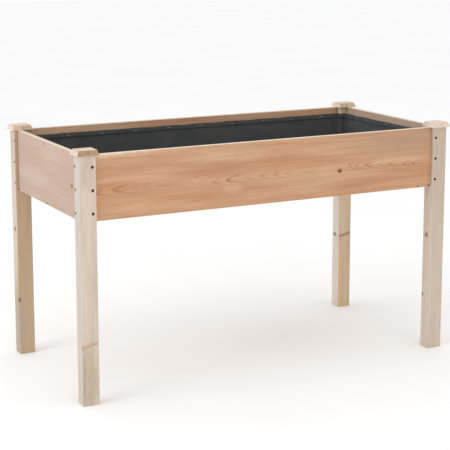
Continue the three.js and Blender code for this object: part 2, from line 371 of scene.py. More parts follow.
timberDefaults = {
    "seed": 0.0,
    "grain": "alongX",
    "pale": (0.60, 0.47, 0.35),
    "deep": (0.52, 0.39, 0.27),
    "late": (0.40, 0.24, 0.13),
    # a darker, warmer tone on one face of the piece, with its edge broken by the bands
    "heart": (0.46, 0.32, 0.20),
    "heartWay": (0, 0, 0),      # world direction towards the face that gets the darker, warmer tone, nothing for none
    "heartStart": 0.0135,       # metres from the middle where it begins
    "heartSoft": 0.004,
    "heartRagged": 0.006,
    "ringWidth": 0.005,
    "figure": 1.0,              # metres either side of the pith line before the late wood fades
    "pithAcross": 0.0,
    "pithDepth": 0.05,
    "slope": 0.0,
    "wander": 0.012,
    "lateStrength": 0.3,
    "bandWidth": 0.045,
    "streakStrength": 0.12,
    "mottleStrength": 0.08,
    "endTone": (0.40, 0.27, 0.17),  # end grain
    "endStrength": 0.6,
    "edge": (0.72, 0.60, 0.47),
    "edgeWidth": 0.0016,
    "edgeStrength": 0.4,
    "arris": 0.0008,            # metres taken off each long edge
    "knotColour": (0.16, 0.07, 0.03),
    "knotRim": (0.40, 0.22, 0.12),
    "rimStrength": 0.7,
    "knots": [],                # from knot()
    "leastRoughness": 0.56,
    "fibreRoughness": 0.25,     # added on the palest fibres
    "reliefDepth": 0.0004,      # metres
    "reliefStrength": 0.35,
    "patches": [],              # from patch()
    "sideTone": (0.76, 0.62, 0.48),  # sapwood on the board's narrow long faces
    "sideStrength": 0.0,
}


def knot(at, way, radius, reach=0.05, swell=0.0, softness=0.15):
    # at: shares of the piece's box. way: the branch's direction. reach: how far either way it goes.
    return {"at": at, "way": way, "radius": radius, "reach": reach, "swell": swell, "softness": softness}


def patch(at, reach, colour, strength):
    # at: shares of the piece's box. reach: metres along the grain, across it and into the face.
    return {"at": at, "reach": reach, "colour": colour, "strength": strength}


def timberFinish(name, nodeName, look):
    low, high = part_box(nodeName)
    middle, size = (low + high) / 2, high - low
    along, across = (Vector(v) for v in grainTurns[look["grain"]])
    depth = along.cross(across)
    turn = Matrix((along, across, depth)).transposed()
    material, tree, shader, texture = newMaterial(name)
    local = addNode(tree, "ShaderNodeMapping", {
        "Vector": texture["Object"], "Location": middle, "Rotation": turn.to_euler()},
        vector_type="TEXTURE").outputs[0]
    toLocal = turn.transposed()

    def inLocal(shares):
        return toLocal @ (Vector([l + s * share for l, s, share in zip(low, size, shares)]) - middle)

    knotMask, rimMask, push = 0.0, 0.0, 0.0
    for branch in look["knots"]:
        one = fillGroup(tree, branchKnot, {
            "Coordinates": local,
            "Centre": inLocal(branch["at"]),
            "Axis": (toLocal @ Vector(branch["way"])).normalized(),
            "Radius": branch["radius"],
            "Reach": branch["reach"],
            "Swell": branch["swell"],
            "Softness": branch["softness"]})
        knotMask = maths(tree, "MAXIMUM", one["Knot"], knotMask)
        rimMask = maths(tree, "MAXIMUM", one["Rim"], rimMask)
        push = plus(tree, one["Push"], push)
    rings = fillGroup(tree, growthRings, {
        "Coordinates": local, "Push": push, "Seed": look["seed"],
        "Pith Across": look["pithAcross"], "Pith Depth": look["pithDepth"],
        "Slope": look["slope"], "Wander": look["wander"], "Ring Width": look["ringWidth"],
        "Figure": look["figure"]})
    tone = fillGroup(tree, boardTone, {
        "Coordinates": local, "Seed": look["seed"], "Band Width": look["bandWidth"]})
    wear = fillGroup(tree, edgeWear, {
        "Coordinates": texture["Object"], "Centre": middle,
        "Half Size": size / 2, "Width": look["edgeWidth"]})
    colour = mixColour(tree, tone["Bands"], look["pale"], look["deep"])
    if any(look["heartWay"]):
        reach = vectorMaths(tree, "DOT_PRODUCT", local, toLocal @ Vector(look["heartWay"]))
        reach = timesPlus(tree, tone["Bands"], look["heartRagged"], reach)
        heart = smoothStep(tree, reach, look["heartStart"], look["heartStart"] + look["heartSoft"])
        colour = mixColour(tree, heart, colour, look["heart"])
    # Soft patches of another colour: mostly wood tone; on the posts' left faces they are painted light, and
    # at the rear-left foot painted shade.
    for area in look["patches"]:
        soft = fillGroup(tree, softPatch, {
            "Coordinates": local, "Centre": inLocal(area["at"]), "Reach": area["reach"]})["Patch"]
        colour = mixColour(tree, times(tree, soft, area["strength"]), colour, area["colour"])
    turned = maths(tree, "ABSOLUTE", vectorMaths(tree, "DOT_PRODUCT", texture["Normal"], across))
    sideFace = smoothStep(tree, turned, 0.6, 0.8, 0.0, look["sideStrength"])
    colour = mixColour(tree, sideFace, colour, look["sideTone"])
    facing = maths(tree, "ABSOLUTE", vectorMaths(tree, "DOT_PRODUCT", texture["Normal"], along))
    endFace = smoothStep(tree, facing, 0.55, 0.8, 0.0, look["endStrength"])
    colour = mixColour(tree, endFace, colour, look["endTone"])
    ringColour = mixColour(tree, times(tree, rings["Late"], look["lateStrength"]), colour, look["late"])
    streak, mottle = look["streakStrength"], look["mottleStrength"]
    streakShade = smoothStep(tree, tone["Streaks"], 0.0, 1.0, 1 - streak, 1 + streak / 3)
    mottleShade = smoothStep(tree, tone["Mottle"], 0.0, 1.0, 1 - mottle, 1.0)
    shade = times(tree, streakShade, mottleShade)
    shaded = mixColour(tree, 1.0, ringColour, joinVector(tree, shade, shade, shade), "MULTIPLY")
    worn = mixColour(tree, times(tree, wear["Edge"], look["edgeStrength"]), shaded, look["edge"])
    rimmed = mixColour(tree, times(tree, rimMask, look["rimStrength"]), worn, look["knotRim"])
    knotted = mixColour(tree, knotMask, rimmed, look["knotColour"])
    setInput(tree, shader.inputs["Base Color"], knotted)
    spread = look["fibreRoughness"]
    rough = timesPlus(tree, tone["Fibre"], spread, look["leastRoughness"])
    rough = timesPlus(tree, rings["Late"], -0.1, rough)
    setInput(tree, shader.inputs["Roughness"], rough)
    shader.inputs["Specular IOR Level"].default_value = 0.3
    relief = timesPlus(tree, rings["Late"], 0.35, tone["Fibre"])
    relief = timesPlus(tree, tone["Streaks"], 0.5, relief)
    addBump(tree, shader, relief, look["reliefStrength"], look["reliefDepth"])
    return material


def dress(nodeName, material):
    for slot in nodes[nodeName].material_slots:
        slot.link = "OBJECT"
        slot.material = material


weldDistance = 0.00002      # metres


def weldPoints(piece):
    piece.modifiers.new("weld", "WELD").merge_threshold = weldDistance


def softenArrises(nodeName, width):
    piece = nodes[nodeName]
    weldPoints(piece)
    bevel = piece.modifiers.new("arris", "BEVEL")
    bevel.width = width
    bevel.segments = 2
    bevel.limit_method = "ANGLE"
    bevel.angle_limit = math.radians(50)
    bevel.use_clamp_overlap = False


def finishTimber(nodeName, prefix, look):
    look = {**timberDefaults, **look}
    suffix = nodeName.partition("_")[2].title().replace("_", "")
    dress(nodeName, timberFinish(prefix + suffix, nodeName, look))
    softenArrises(nodeName, look["arris"])


# Posts: pale timber on end, with a few small knots where a branch crossed.

postLooks = {
    "front_left": {
        "seed": 3.1, "pale": (0.640, 0.550, 0.460), "deep": (0.575, 0.480, 0.390),
        "pithAcross": 0.03, "pithDepth": 0.03, "ringWidth": 0.0055, "slope": 0.006,
        "knotColour": (0.47, 0.325, 0.215), "knotRim": (0.55, 0.42, 0.31),
        "knots": [
            knot((0.48, 0.03, 0.2467), (-0.978, 0, -0.209), 0.0042,
                 reach=0.020, swell=0.003, softness=0.75),
            knot((0.04, 0.03, 0.2380), (0, 0, 1), 0.0040, reach=0.007, softness=0.7),
        ],
        "patches": [
            patch((0.4, 0.0, 0.110), (0.11, 0.03, 0.028), (0.45, 0.365, 0.27), 0.7),
            patch((0.0, 0.0, 0.115), (0.125, 0.0045, 0.0045), (0.37, 0.25, 0.13), 0.75),
            patch((0.62, 0.0, 0.12), (0.11, 0.02, 0.004), (0.55, 0.44, 0.29), 0.6),
            patch((0.5, 0.0, 0.93), (0.06, 0.03, 0.03), (0.51, 0.415, 0.32), 0.6),
            # painted light: the left face alone is given a cooler, slightly darker tone, as the bluish
            # light from the left shows it
            patch((0.0, 0.5, 0.5), (0.60, 0.06, 0.0016), (0.570, 0.515, 0.465), 0.85),
            patch((0.30, 0.0, 0.62), (0.10, 0.01, 0.003), (0.60, 0.47, 0.33), 0.5),
        ],
    },
    "front_right": {
        "seed": 7.7, "pale": (0.575, 0.480, 0.392), "deep": (0.530, 0.435, 0.348),
        "pithAcross": -0.035, "pithDepth": 0.02, "ringWidth": 0.006, "slope": -0.005,
        "knots": [
            knot((0.0, 0.578, 0.5165), (1, 0, 0), 0.0056, swell=0.005, softness=0.6),
            knot((0.0, 0.890, 0.2411), (1, 0, 0), 0.0036, swell=0.004, softness=0.4),
        ],
        "patches": [
            patch((0.6, 0.0, 0.90), (0.22, 0.02, 0.05), (0.49, 0.395, 0.305), 0.7),
            # painted light: the lower part of the left face is made paler, as if more light fell on it from
            # the left
            patch((0.0, 0.5, 0.25), (0.40, 0.06, 0.0016), (0.66, 0.575, 0.485), 0.8),
        ],
    },
    "rear_left": {
        "seed": 12.4, "pale": (0.590, 0.510, 0.430), "deep": (0.530, 0.440, 0.350),
        # darker, warmer tone on the post's front face
        "heart": (0.500, 0.360, 0.238), "heartWay": (0.15, -0.989, 0),
        "pithAcross": 0.04, "pithDepth": -0.03, "ringWidth": 0.006, "slope": 0.004,
        "knots": [
            knot((0.0, 0.44, 0.5615), (1, 0, 0.1), 0.0050, swell=0.005, softness=0.5),
            knot((0.04, 0.05, 0.2476), (0, 0, 1), 0.0042, reach=0.0065, swell=0.002, softness=0.6),
        ],
        "patches": [
            # painted shade: the foot of the post made darker on its left face and the edges beside it
            patch((0.0, 0.5, 0.12), (0.16, 0.05, 0.02), (0.42, 0.345, 0.275), 0.7),
            # painted light: the upper part of the left face is made paler, as if more light fell on it from
            # the left
            patch((0.0, 0.5, 0.60), (0.20, 0.05, 0.0016), (0.63, 0.545, 0.465), 0.6),
        ],
    },
    "rear_right": {
        "seed": 18.9, "pale": (0.660, 0.570, 0.480), "deep": (0.600, 0.505, 0.405),
        # darker, warmer tone on the post's front face
        "heart": (0.600, 0.450, 0.295), "heartWay": (0.15, -0.989, 0),
        "pithAcross": -0.03, "pithDepth": 0.04, "ringWidth": 0.0055, "slope": 0.005,
        "knotColour": (0.30, 0.17, 0.09), "knotRim": (0.46, 0.31, 0.20),
        "knots": [
            knot((0.02, 0.62, 0.3660), (0, 0.988, 0.15), 0.0036, reach=0.009, swell=0.002, softness=0.7),
            knot((0.52, 0.03, 0.3672), (0.975, 0, 0.22), 0.0034, reach=0.019, swell=0.002, softness=0.7),
            knot((0.06, 0.05, 0.3610), (0, 0, 1), 0.0026, reach=0.002, softness=0.5),
        ],
        "patches": [
            # painted light: the whole left face is made much paler, as if brightly lit from the left
            patch((0.0, 0.5, 0.5), (0.60, 0.06, 0.0016), (0.80, 0.73, 0.66), 0.85),
            patch((0.3, 0.0, 0.50), (0.12, 0.01, 0.012), (0.66, 0.53, 0.40), 0.6),
            patch((0.9, 0.0, 0.22), (0.22, 0.01, 0.010), (0.55, 0.38, 0.25), 0.7),
            patch((0.4, 0.0, 0.10), (0.14, 0.01, 0.006), (0.50, 0.37, 0.22), 0.5),
        ],
    },
}

postCommon = {
    "grain": "alongZ", "late": (0.42, 0.28, 0.17), "lateStrength": 0.15, "bandWidth": 0.022,
    "streakStrength": 0.06, "mottleStrength": 0.05, "wander": 0.006,
    "endStrength": 0.5, "edgeStrength": 0.12, "arris": 0.0011,
    "knotColour": (0.22, 0.11, 0.05), "knotRim": (0.42, 0.27, 0.16),
}

for corner, look in postLooks.items():
    finishTimber("post_" + corner, "postTimber", {**postCommon, **look})
print("posts finished")


# Caps: little bevelled blocks with their end grain to the front and rear.

capCommon = {
    "grain": "flatY", "pale": (0.80, 0.66, 0.57), "deep": (0.73, 0.57, 0.46), "late": (0.45, 0.27, 0.15),
    "ringWidth": 0.0045, "pithDepth": 0.03, "wander": 0.004, "lateStrength": 0.3, "bandWidth": 0.03,
    "endStrength": 0.95, "edgeWidth": 0.001, "edgeStrength": 0.3, "edge": (0.85, 0.72, 0.6),
    "arris": 0.0012,
}

capLooks = {                # end grain on the bevels to the front and rear
    "front_left": {"endTone": (0.395, 0.245, 0.135), "late": (0.26, 0.13, 0.06)},
    "front_right": {"endTone": (0.72, 0.60, 0.48)},
    "rear_left": {"endTone": (0.60, 0.45, 0.31)},
    "rear_right": {"endTone": (0.56, 0.41, 0.27)},
}

for number, (corner, extra) in enumerate(capLooks.items()):
    look = {**capCommon, "seed": 31.3 + 4.7 * number, "pithAcross": -0.02 + 0.013 * number, **extra}
    finishTimber("cap_" + corner, "capTimber", look)
print("caps finished")


# Boards: the long ones are flat sawn, so the rings run out on the face in long flames.

boardLooks = {
    "panel_front": {
        "seed": 5.3, "grain": "alongX",
        "pale": (0.575, 0.338, 0.198), "deep": (0.495, 0.258, 0.136), "late": (0.38, 0.150, 0.058),
        "pithAcross": -0.010, "pithDepth": 0.046, "slope": -0.036, "ringWidth": 0.0019, "wander": 0.030,
        "figure": 0.017, "lateStrength": 0.74, "bandWidth": 0.045,
        "streakStrength": 0.10, "mottleStrength": 0.05,
        "edge": (0.80, 0.66, 0.52), "edgeWidth": 0.0012, "edgeStrength": 0.6,
        "sideTone": (0.80, 0.70, 0.57), "sideStrength": 0.95,
        "knotColour": (0.07, 0.025, 0.012), "knotRim": (0.34, 0.14, 0.06),
        "knots": [
            knot((0.6958, 0.0, 0.411), (0.1, 1, 0), 0.0048, swell=0.007),
            knot((0.6895, 0.0, 0.412), (0, 1, 0), 0.0021),
        ],
        "patches": [
            patch((0.00, 0.0, 1.02), (0.26, 0.017, 0.05), (0.74, 0.57, 0.42), 0.9),
            patch((0.36, 0.0, 0.80), (0.16, 0.016, 0.05), (0.58, 0.37, 0.24), 0.6),
            patch((0.08, 0.0, 0.48), (0.10, 0.018, 0.05), (0.47, 0.22, 0.11), 0.4),
            patch((0.30, 0.0, 0.62), (0.14, 0.014, 0.05), (0.48, 0.24, 0.125), 0.35),
            patch((0.381, 0.0, 0.31), (0.034, 0.017, 0.05), (0.62, 0.42, 0.30), 0.35),
            patch((1.00, 0.0, 0.82), (0.36, 0.050, 0.05), (0.43, 0.275, 0.180), 0.75),
            patch((0.87, 0.0, 0.50), (0.11, 0.011, 0.05), (0.62, 0.42, 0.28), 0.6),
            patch((0.82, 0.0, 0.20), (0.20, 0.014, 0.05), (0.46, 0.235, 0.125), 0.45),
        ],
    },
    "panel_rear": {
        "seed": 9.9, "grain": "alongX",
        "pale": (0.560, 0.340, 0.210), "deep": (0.490, 0.265, 0.150), "late": (0.36, 0.155, 0.065),
        "pithAcross": 0.012, "pithDepth": 0.05, "slope": 0.036, "ringWidth": 0.0024, "wander": 0.032,
        "figure": 0.016, "lateStrength": 0.6, "bandWidth": 0.05, "streakStrength": 0.10,
        "edge": (0.80, 0.66, 0.52), "edgeStrength": 0.55, "sideStrength": 0.85,
        "knots": [knot((0.31, 1.0, 0.63), (0, 1, 0.1), 0.006, swell=0.012)],
        "patches": [
            patch((0.15, 0.5, 0.9), (0.20, 0.02, 0.05), (0.62, 0.42, 0.28), 0.6),
            patch((0.70, 0.5, 0.3), (0.22, 0.02, 0.05), (0.46, 0.235, 0.125), 0.45),
        ],
    },
    "panel_left": {
        "seed": 14.2, "grain": "alongY",
        "pale": (0.535, 0.388, 0.304), "deep": (0.495, 0.350, 0.270), "late": (0.42, 0.26, 0.18),
        "pithAcross": -0.12, "pithDepth": 0.06, "slope": 0.03, "ringWidth": 0.0032, "wander": 0.02,
        "lateStrength": 0.15, "bandWidth": 0.06, "streakStrength": 0.05, "mottleStrength": 0.09,
        "edge": (0.78, 0.67, 0.54), "edgeStrength": 0.6,
        "sideTone": (0.78, 0.66, 0.53), "sideStrength": 0.9,
        "knotRim": (0.42, 0.26, 0.15), "knotColour": (0.20, 0.09, 0.04),
        "knots": [
            knot((0.0, 0.526, 0.955), (1, 0, 0), 0.0036, swell=0.006),
            knot((0.0, 0.105, 0.482), (1, 0.1, 0), 0.0052, swell=0.008),
        ],
        "patches": [
            patch((0.0, 0.42, 0.80), (0.09, 0.045, 0.05), (0.56, 0.43, 0.32), 0.5),
            patch((0.0, 0.75, 0.35), (0.14, 0.030, 0.05), (0.58, 0.44, 0.36), 0.5),
        ],
    },
    "panel_right": {
        "seed": 22.8, "grain": "alongY",
        "pale": (0.560, 0.405, 0.305), "deep": (0.510, 0.350, 0.255), "late": (0.40, 0.24, 0.15),
        "pithAcross": 0.01, "pithDepth": 0.05, "slope": 0.05, "ringWidth": 0.003, "wander": 0.02,
        "lateStrength": 0.4, "bandWidth": 0.05, "edge": (0.78, 0.65, 0.50), "edgeStrength": 0.5,
        "sideTone": (0.78, 0.66, 0.53), "sideStrength": 0.9,
        "knots": [knot((1.0, 0.36, 0.55), (1, 0, 0), 0.006, swell=0.010)],
        "patches": [
            patch((1.0, 0.70, 0.70), (0.12, 0.03, 0.05), (0.58, 0.44, 0.35), 0.5),
        ],
    },
}

for nodeName, look in boardLooks.items():
    finishTimber(nodeName, "boardTimber", look)
print("boards finished")


# Floor battens: ledgers round the inside and slats across them, in plainer timber.

battenLook = {
    "pale": (0.60, 0.46, 0.33), "deep": (0.52, 0.37, 0.25), "late": (0.42, 0.24, 0.13),
    "ringWidth": 0.005, "lateStrength": 0.35, "bandWidth": 0.03, "wander": 0.02,
}

for number, nodeName in enumerate(namesFrom("ledger_", "slat_")):
    isSlat = nodeName.startswith("slat_")
    low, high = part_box(nodeName)
    grain = ("flatY" if isSlat else "alongY") if high.y - low.y > high.x - low.x else "alongX"
    wave = math.sin(2.4 * number)
    look = {**battenLook, "grain": grain, "seed": 40 + 3.3 * number, "pithAcross": 0.03 * wave,
            "pithDepth": 0.045 + 0.02 * math.cos(1.7 * number), "slope": 0.04 * wave}
    if isSlat and number % 3 == 0:
        at = (0.5 + 0.3 * wave, 0.3 + 0.4 * (number % 2), 0.5)
        look["knots"] = [knot(at, (0, 0.1, 1), 0.007, swell=0.012)]
    finishTimber(nodeName, "battenTimber", look)
print("floor battens finished")


# Fasteners: dark coated screws, and tarnished brads in the caps.

metalLooks = {
    "screwCoat": {"colour": (0.055, 0.035, 0.022), "worn": (0.16, 0.11, 0.07), "wear": 0.60, "rough": 0.35},
    "bradSteel": {"colour": (0.075, 0.045, 0.028), "worn": (0.22, 0.16, 0.11), "wear": 0.58, "rough": 0.35},
    "nailSteel": {"colour": (0.07, 0.042, 0.027), "worn": (0.20, 0.14, 0.10), "wear": 0.60, "rough": 0.40},
    "stapleSteel": {"colour": (0.45, 0.45, 0.46), "worn": (0.62, 0.61, 0.60), "wear": 0.55, "rough": 0.20},
}


def metalFinish(name, look):
    # A coat with fine grit, rubbed bare where a coarser noise is over the wear level.
    material, tree, shader, texture = newMaterial(name)
    place = texture["Object"]
    grit = noise(tree, place, (1800, 1800, 1800), detail=3, roughness=0.6)
    rubs = noise(tree, place, (420, 420, 420), detail=4)
    bare = smoothStep(tree, rubs, look["wear"], look["wear"] + 0.12)
    setInput(tree, shader.inputs["Base Color"], mixColour(tree, bare, look["colour"], look["worn"]))
    setInput(tree, shader.inputs["Roughness"], timesPlus(tree, grit, 0.3, look["rough"]))
    shader.inputs["Metallic"].default_value = 0.85
    addBump(tree, shader, grit, 0.2, 0.0001)
    return material


metals = {name: metalFinish(name, look) for name, look in metalLooks.items()}
for nodeName in namesFrom("screw_"):
    dress(nodeName, metals["screwCoat"])
for nodeName in namesFrom("brad_"):
    dress(nodeName, metals["bradSteel"])
print("fasteners finished")


# Mesh helpers for the new pieces.

def gridFaces(rows, columns):
    # Quads between neighbouring rows of a grid that closes on itself, counted row by row.
    row, column = np.meshgrid(np.arange(rows - 1), np.arange(columns), indexing="ij")
    here, after = row * columns + column, row * columns + (column + 1) % columns
    return np.stack([here, after, after + columns, here + columns], -1).reshape(-1, 4)


def makePiece(name, points, faces, material, smooth=True):
    mesh = bpy.data.meshes.new(name)
    mesh.from_pydata(points.reshape(-1, 3).tolist(), [], faces)
    mesh.update()
    if smooth:
        mesh.polygons.foreach_set("use_smooth", np.ones(len(mesh.polygons), bool))
    mesh.materials.append(material)
    piece = bpy.data.objects.new(name, mesh)
    bpy.context.scene.collection.objects.link(piece)
    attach(piece, "root")
    return piece


# Liner: one sheet of dark felt-like fabric, pressed into the bed and round the posts, hemmed and stapled.

linerLook = {
    "cloth": 0.0009,         # thickness, metres
    "clear": 0.0012,         # from the timber to the middle of the cloth
    "postClear": 0.0017,
    "pocketRadius": 0.011,   # where it can't reach into a corner
    "postRadius": 0.005,
    "footRadius": 0.008,     # bend from the floor up to the sides
    "hemDepth": 0.014,
    "hemRadius": 0.0012,
    "staplePitch": 0.115,
    "bow": 0.0028,           # how far the rim leans in between staples
    "rimDip": 0.0016,        # how far the rim sinks in between them
    "pleat": 0.0050,         # spare cloth beside each post
    "pleatAway": 0.052,      # from the middle of the post
    "pleatSpread": 0.014,
    "flute": 0.021,          # width of one fold of it
    "ripple": 0.0008,        # small waves half way up the sides
    "dip": 0.0012,           # sag into each gap of the floor
    "dipWidth": 0.006,
    "ruck": 0.0016,          # gentle rucks on the floor
    "arcPoints": 9,          # in each rounded corner
    "step": 0.006,           # along the outline
    "rowsOut": 45,           # from the floor's middle line to its edge
}


def roundedOutline(corners, radii, step, arcPoints):
    # Straight runs joined by arcs, then points at equal steps along the whole way round.
    corners = np.array(corners, float)
    pieces = []
    for i, radius in enumerate(radii):
        here, back, on = corners[i], corners[i - 1], corners[(i + 1) % len(corners)]
        intoWay = (here - back) / np.linalg.norm(here - back)
        outWay = (on - here) / np.linalg.norm(on - here)
        side = np.sign(intoWay[0] * outWay[1] - intoWay[1] * outWay[0])
        centre = here - intoWay * radius + side * radius * np.array([-intoWay[1], intoWay[0]])
        start = here - intoWay * radius - centre
        angles = np.linspace(0, side * math.pi / 2, arcPoints)[:, None]
        turned = np.stack([-start[1:2], start[0:1]], 1)
        pieces.append(centre + start * np.cos(angles) + turned * np.sin(angles))
    loop = np.concatenate(pieces)
    loop = np.concatenate([loop, loop[:1]])
    travelled = np.concatenate([[0], np.cumsum(np.linalg.norm(np.diff(loop, axis=0), axis=1))])
    count = int(round(travelled[-1] / step))
    places = np.arange(count) * travelled[-1] / count
    points = np.stack([np.interp(places, travelled, loop[:, k]) for k in (0, 1)], 1)
    return points, places, travelled[-1]


def linerOutline(look):
    # The bed's plan with a notch for each post, going round from the middle of the right-hand end.
    bedCorner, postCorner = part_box("bed_liner")[1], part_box("post_rear_right")[0]
    farX, farY = bedCorner.x - look["clear"], bedCorner.y - look["clear"]
    nearX, nearY = postCorner.x - look["postClear"], postCorner.y - look["postClear"]
    pocket, post = look["pocketRadius"], look["postRadius"]
    quarter = [(farX, nearY, pocket), (nearX, nearY, post), (nearX, farY, pocket)]
    corners = [(farX, 0, 0)]
    for signX, signY in ((1, 1), (-1, 1), (-1, -1), (1, -1)):
        part = [(signX * x, signY * y, radius) for x, y, radius in quarter]
        corners += part if signX * signY > 0 else part[::-1]
    plan, radii = [c[:2] for c in corners], [c[2] for c in corners]
    return roundedOutline(plan, radii, look["step"], look["arcPoints"])


def linerSection(look, bottom, top):
    # From the edge of the floor: a bend, the climb, a half turn over the hem, and the turned down end.
    foot, hem = look["footRadius"], look["hemRadius"]
    bend = np.linspace(0, math.pi / 2, 6)[1:]
    climb = np.linspace(bottom + foot, top - hem, 16)[1:]
    roll = np.linspace(0, math.pi, 7)[1:]
    turnDown = np.linspace(top - hem, top - look["hemDepth"], 5)[1:]
    inset = [[foot], foot * (1 - np.sin(bend)), 0 * climb, hem * (1 - np.cos(roll)), 2 * hem + 0 * turnDown]
    height = [[bottom], bottom + foot * (1 - np.cos(bend)), climb, top - hem + hem * np.sin(roll), turnDown]
    return np.concatenate(inset), np.concatenate(height)


def linerSides(look, outline, places, inward, pitch, bottom, top):
    # The outline moved in by the section's inset and by a lean, which grows towards the rim: pleats beside
    # the posts, sine squared bows between the staples, and ripples that die out at both ends.
    inset, height = linerSection(look, bottom, top)
    foot = look["footRadius"]
    share = np.clip((height - bottom - foot) / (top - bottom - foot), 0, 1)[:, None]
    edge = outline[None] + inward[None] * inset[:, None, None]
    posts = np.array([sum(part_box("post_" + corner), Vector()) for corner in postLooks]) / 2
    reach = np.min(np.linalg.norm(outline[:, None] - posts[None, :, :2], axis=2), axis=1)
    nearPost = np.exp(-(((reach - look["pleatAway"]) / look["pleatSpread"]) ** 2))
    flute = 0.5 + 0.5 * np.cos(reach * 2 * math.pi / look["flute"])
    between = np.sin(math.pi * places / pitch) ** 2
    slack = 0.6 + 0.4 * np.sin(places * 11.0 + 1.3) * np.sin(places * 4.3)
    lean = look["pleat"] * nearPost * flute * share ** 1.2 + look["bow"] * between * slack * share ** 2
    lean = lean + look["ripple"] * np.sin(places * 37 + 9 * share) * share * (1 - share)
    edge = edge + inward[None] * lean[:, :, None]
    level = height[:, None] - look["rimDip"] * (between * slack)[None] * share ** 3
    return np.concatenate([edge, level[:, :, None]], 2)


def linerFloor(look, ring, bottom):
    # Rows go out from the floor's long middle line to the ring. The floor dips along each gap between slats
    # as a bell curve, and rises in crossed sine rucks; both fade towards the ring.
    halfLine = ring[:, 0].max() - ring[:, 1].max()
    spine = np.stack([np.clip(ring[:, 0], -halfLine, halfLine), 0 * ring[:, 1]], 1)
    out = np.linspace(0, 1, look["rowsOut"] + 1)[:-1, None, None]
    flat = spine[None] + (ring - spine)[None] * out
    x, y = flat[:, :, 0], flat[:, :, 1]
    fade = 1 - out[:, :, 0] ** 8
    slats = sorted((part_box(name) for name in namesFrom("slat_")), key=lambda b: b[0].x)
    gaps = np.array([(a[1].x + b[0].x) / 2 for a, b in zip(slats, slats[1:])])
    toGap = np.min(np.abs(x[:, :, None] - gaps), axis=2)
    sag = look["dip"] * np.exp(-((toGap / look["dipWidth"]) ** 2)) * fade
    ruck = np.sin(23 * x + 9 * y) * np.sin(17 * y - 5 * x + 1)
    ruck = ruck + 0.5 * np.sin(51 * x - 33 * y) * np.sin(41 * y + 2)
    lift = look["ruck"] * np.clip(ruck, 0, None) ** 1.5 * fade
    return np.concatenate([flat, (bottom - sag + lift)[:, :, None]], 2)


def makeLiner(look, material):
    # One grid of rows round the bed: the floor from its middle line out, then the sides and the hem.
    outline, places, around = linerOutline(look)
    ahead, behind = np.roll(outline, -1, 0), np.roll(outline, 1, 0)
    tangent = (ahead - behind) / np.linalg.norm(ahead - behind, axis=1)[:, None]
    inward = np.stack([-tangent[:, 1], tangent[:, 0]], 1)
    low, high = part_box("bed_liner")
    bottom, top = low.z + look["clear"] / 2, high.z
    pitch = around / round(around / look["staplePitch"])
    sides = linerSides(look, outline, places, inward, pitch, bottom, top)
    points = np.concatenate([linerFloor(look, sides[0, :, :2], bottom), sides])
    faces = gridFaces(*points.shape[:2])[:, ::-1].tolist()
    liner = makePiece("liner_fabric", points, faces, material)
    weldPoints(liner)
    wall = liner.modifiers.new("cloth", "SOLIDIFY")
    wall.thickness = look["cloth"]
    wall.offset = 0
    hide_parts("bed_liner")
    return liner, {"line": outline, "places": places, "inward": inward, "pitch": pitch, "top": top}


feltLook = {
    "shade": (0.014, 0.014, 0.016),     # in the bonding marks
    "dark": (0.020, 0.021, 0.023),
    "pale": (0.075, 0.077, 0.080),
    "dust": (0.16, 0.145, 0.12),
    "dustStrength": 0.18,
    "marks": 330.0,                     # bonding marks a metre
}


def feltFinish(name, look):
    # Pressed fibres: crossed stretched noise for the web, a dot grid of bonding marks, and dusty rubs.
    material, tree, shader, texture = newMaterial(name)
    place = texture["Object"]
    webOne = noise(tree, place, (2600, 500, 900), detail=2, roughness=0.6, distortion=0.6)
    webTwo = noise(tree, place, (500, 2600, 1500), detail=2, roughness=0.6, distortion=0.6)
    web = maths(tree, "MAXIMUM", webOne, webTwo)
    dots = addNode(tree, "ShaderNodeTexVoronoi", {
        "Vector": place, "Scale": look["marks"], "Randomness": 0.25})
    pressed = smoothStep(tree, dots.outputs["Distance"], 0.22, 0.36)
    dust = smoothStep(tree, noise(tree, place, (9, 9, 14), detail=4, roughness=0.65), 0.42, 0.72)
    threadShare = smoothStep(tree, web, 0.42, 0.68)
    thread = mixColour(tree, threadShare, look["dark"], look["pale"])
    dotted = mixColour(tree, pressed, mixColour(tree, 0.5, thread, look["shade"]), thread)
    dusty = mixColour(tree, times(tree, dust, look["dustStrength"]), dotted, look["dust"])
    setInput(tree, shader.inputs["Base Color"], dusty)
    setInput(tree, shader.inputs["Roughness"], timesPlus(tree, web, 0.2, 0.72))
    shader.inputs["Sheen Weight"].default_value = 0.25
    shader.inputs["Sheen Roughness"].default_value = 0.5
    relief = timesPlus(tree, pressed, 0.6, web)
    addBump(tree, shader, relief, 0.5, 0.0004)
    return material


liner, rim = makeLiner(linerLook, feltFinish("linerFelt", feltLook))
print("liner laid")


# Small fasteners: nail heads along the boards' lower edges, screws through the ledgers, nails in the
# slats and staples round the liner's rim.

headLooks = {               # outer radius, how far the head stands out, depth of its driver hollow
    "boardNail": {"radius": 0.0027, "proud": 0.0008, "hollow": 0.0},
    "ledgerScrew": {"radius": 0.0038, "proud": 0.0003, "hollow": 0.0016},
    "slatNail": {"radius": 0.0017, "proud": 0.0002, "hollow": 0.0},
}


def repeatFaces(faces, count, stride):
    # The same faces once for each copy, each copy's numbers a stride further on.
    steps = stride * np.arange(count)[:, None, None]
    return (np.array(faces)[None] + steps).reshape(-1, len(faces[0])).tolist()


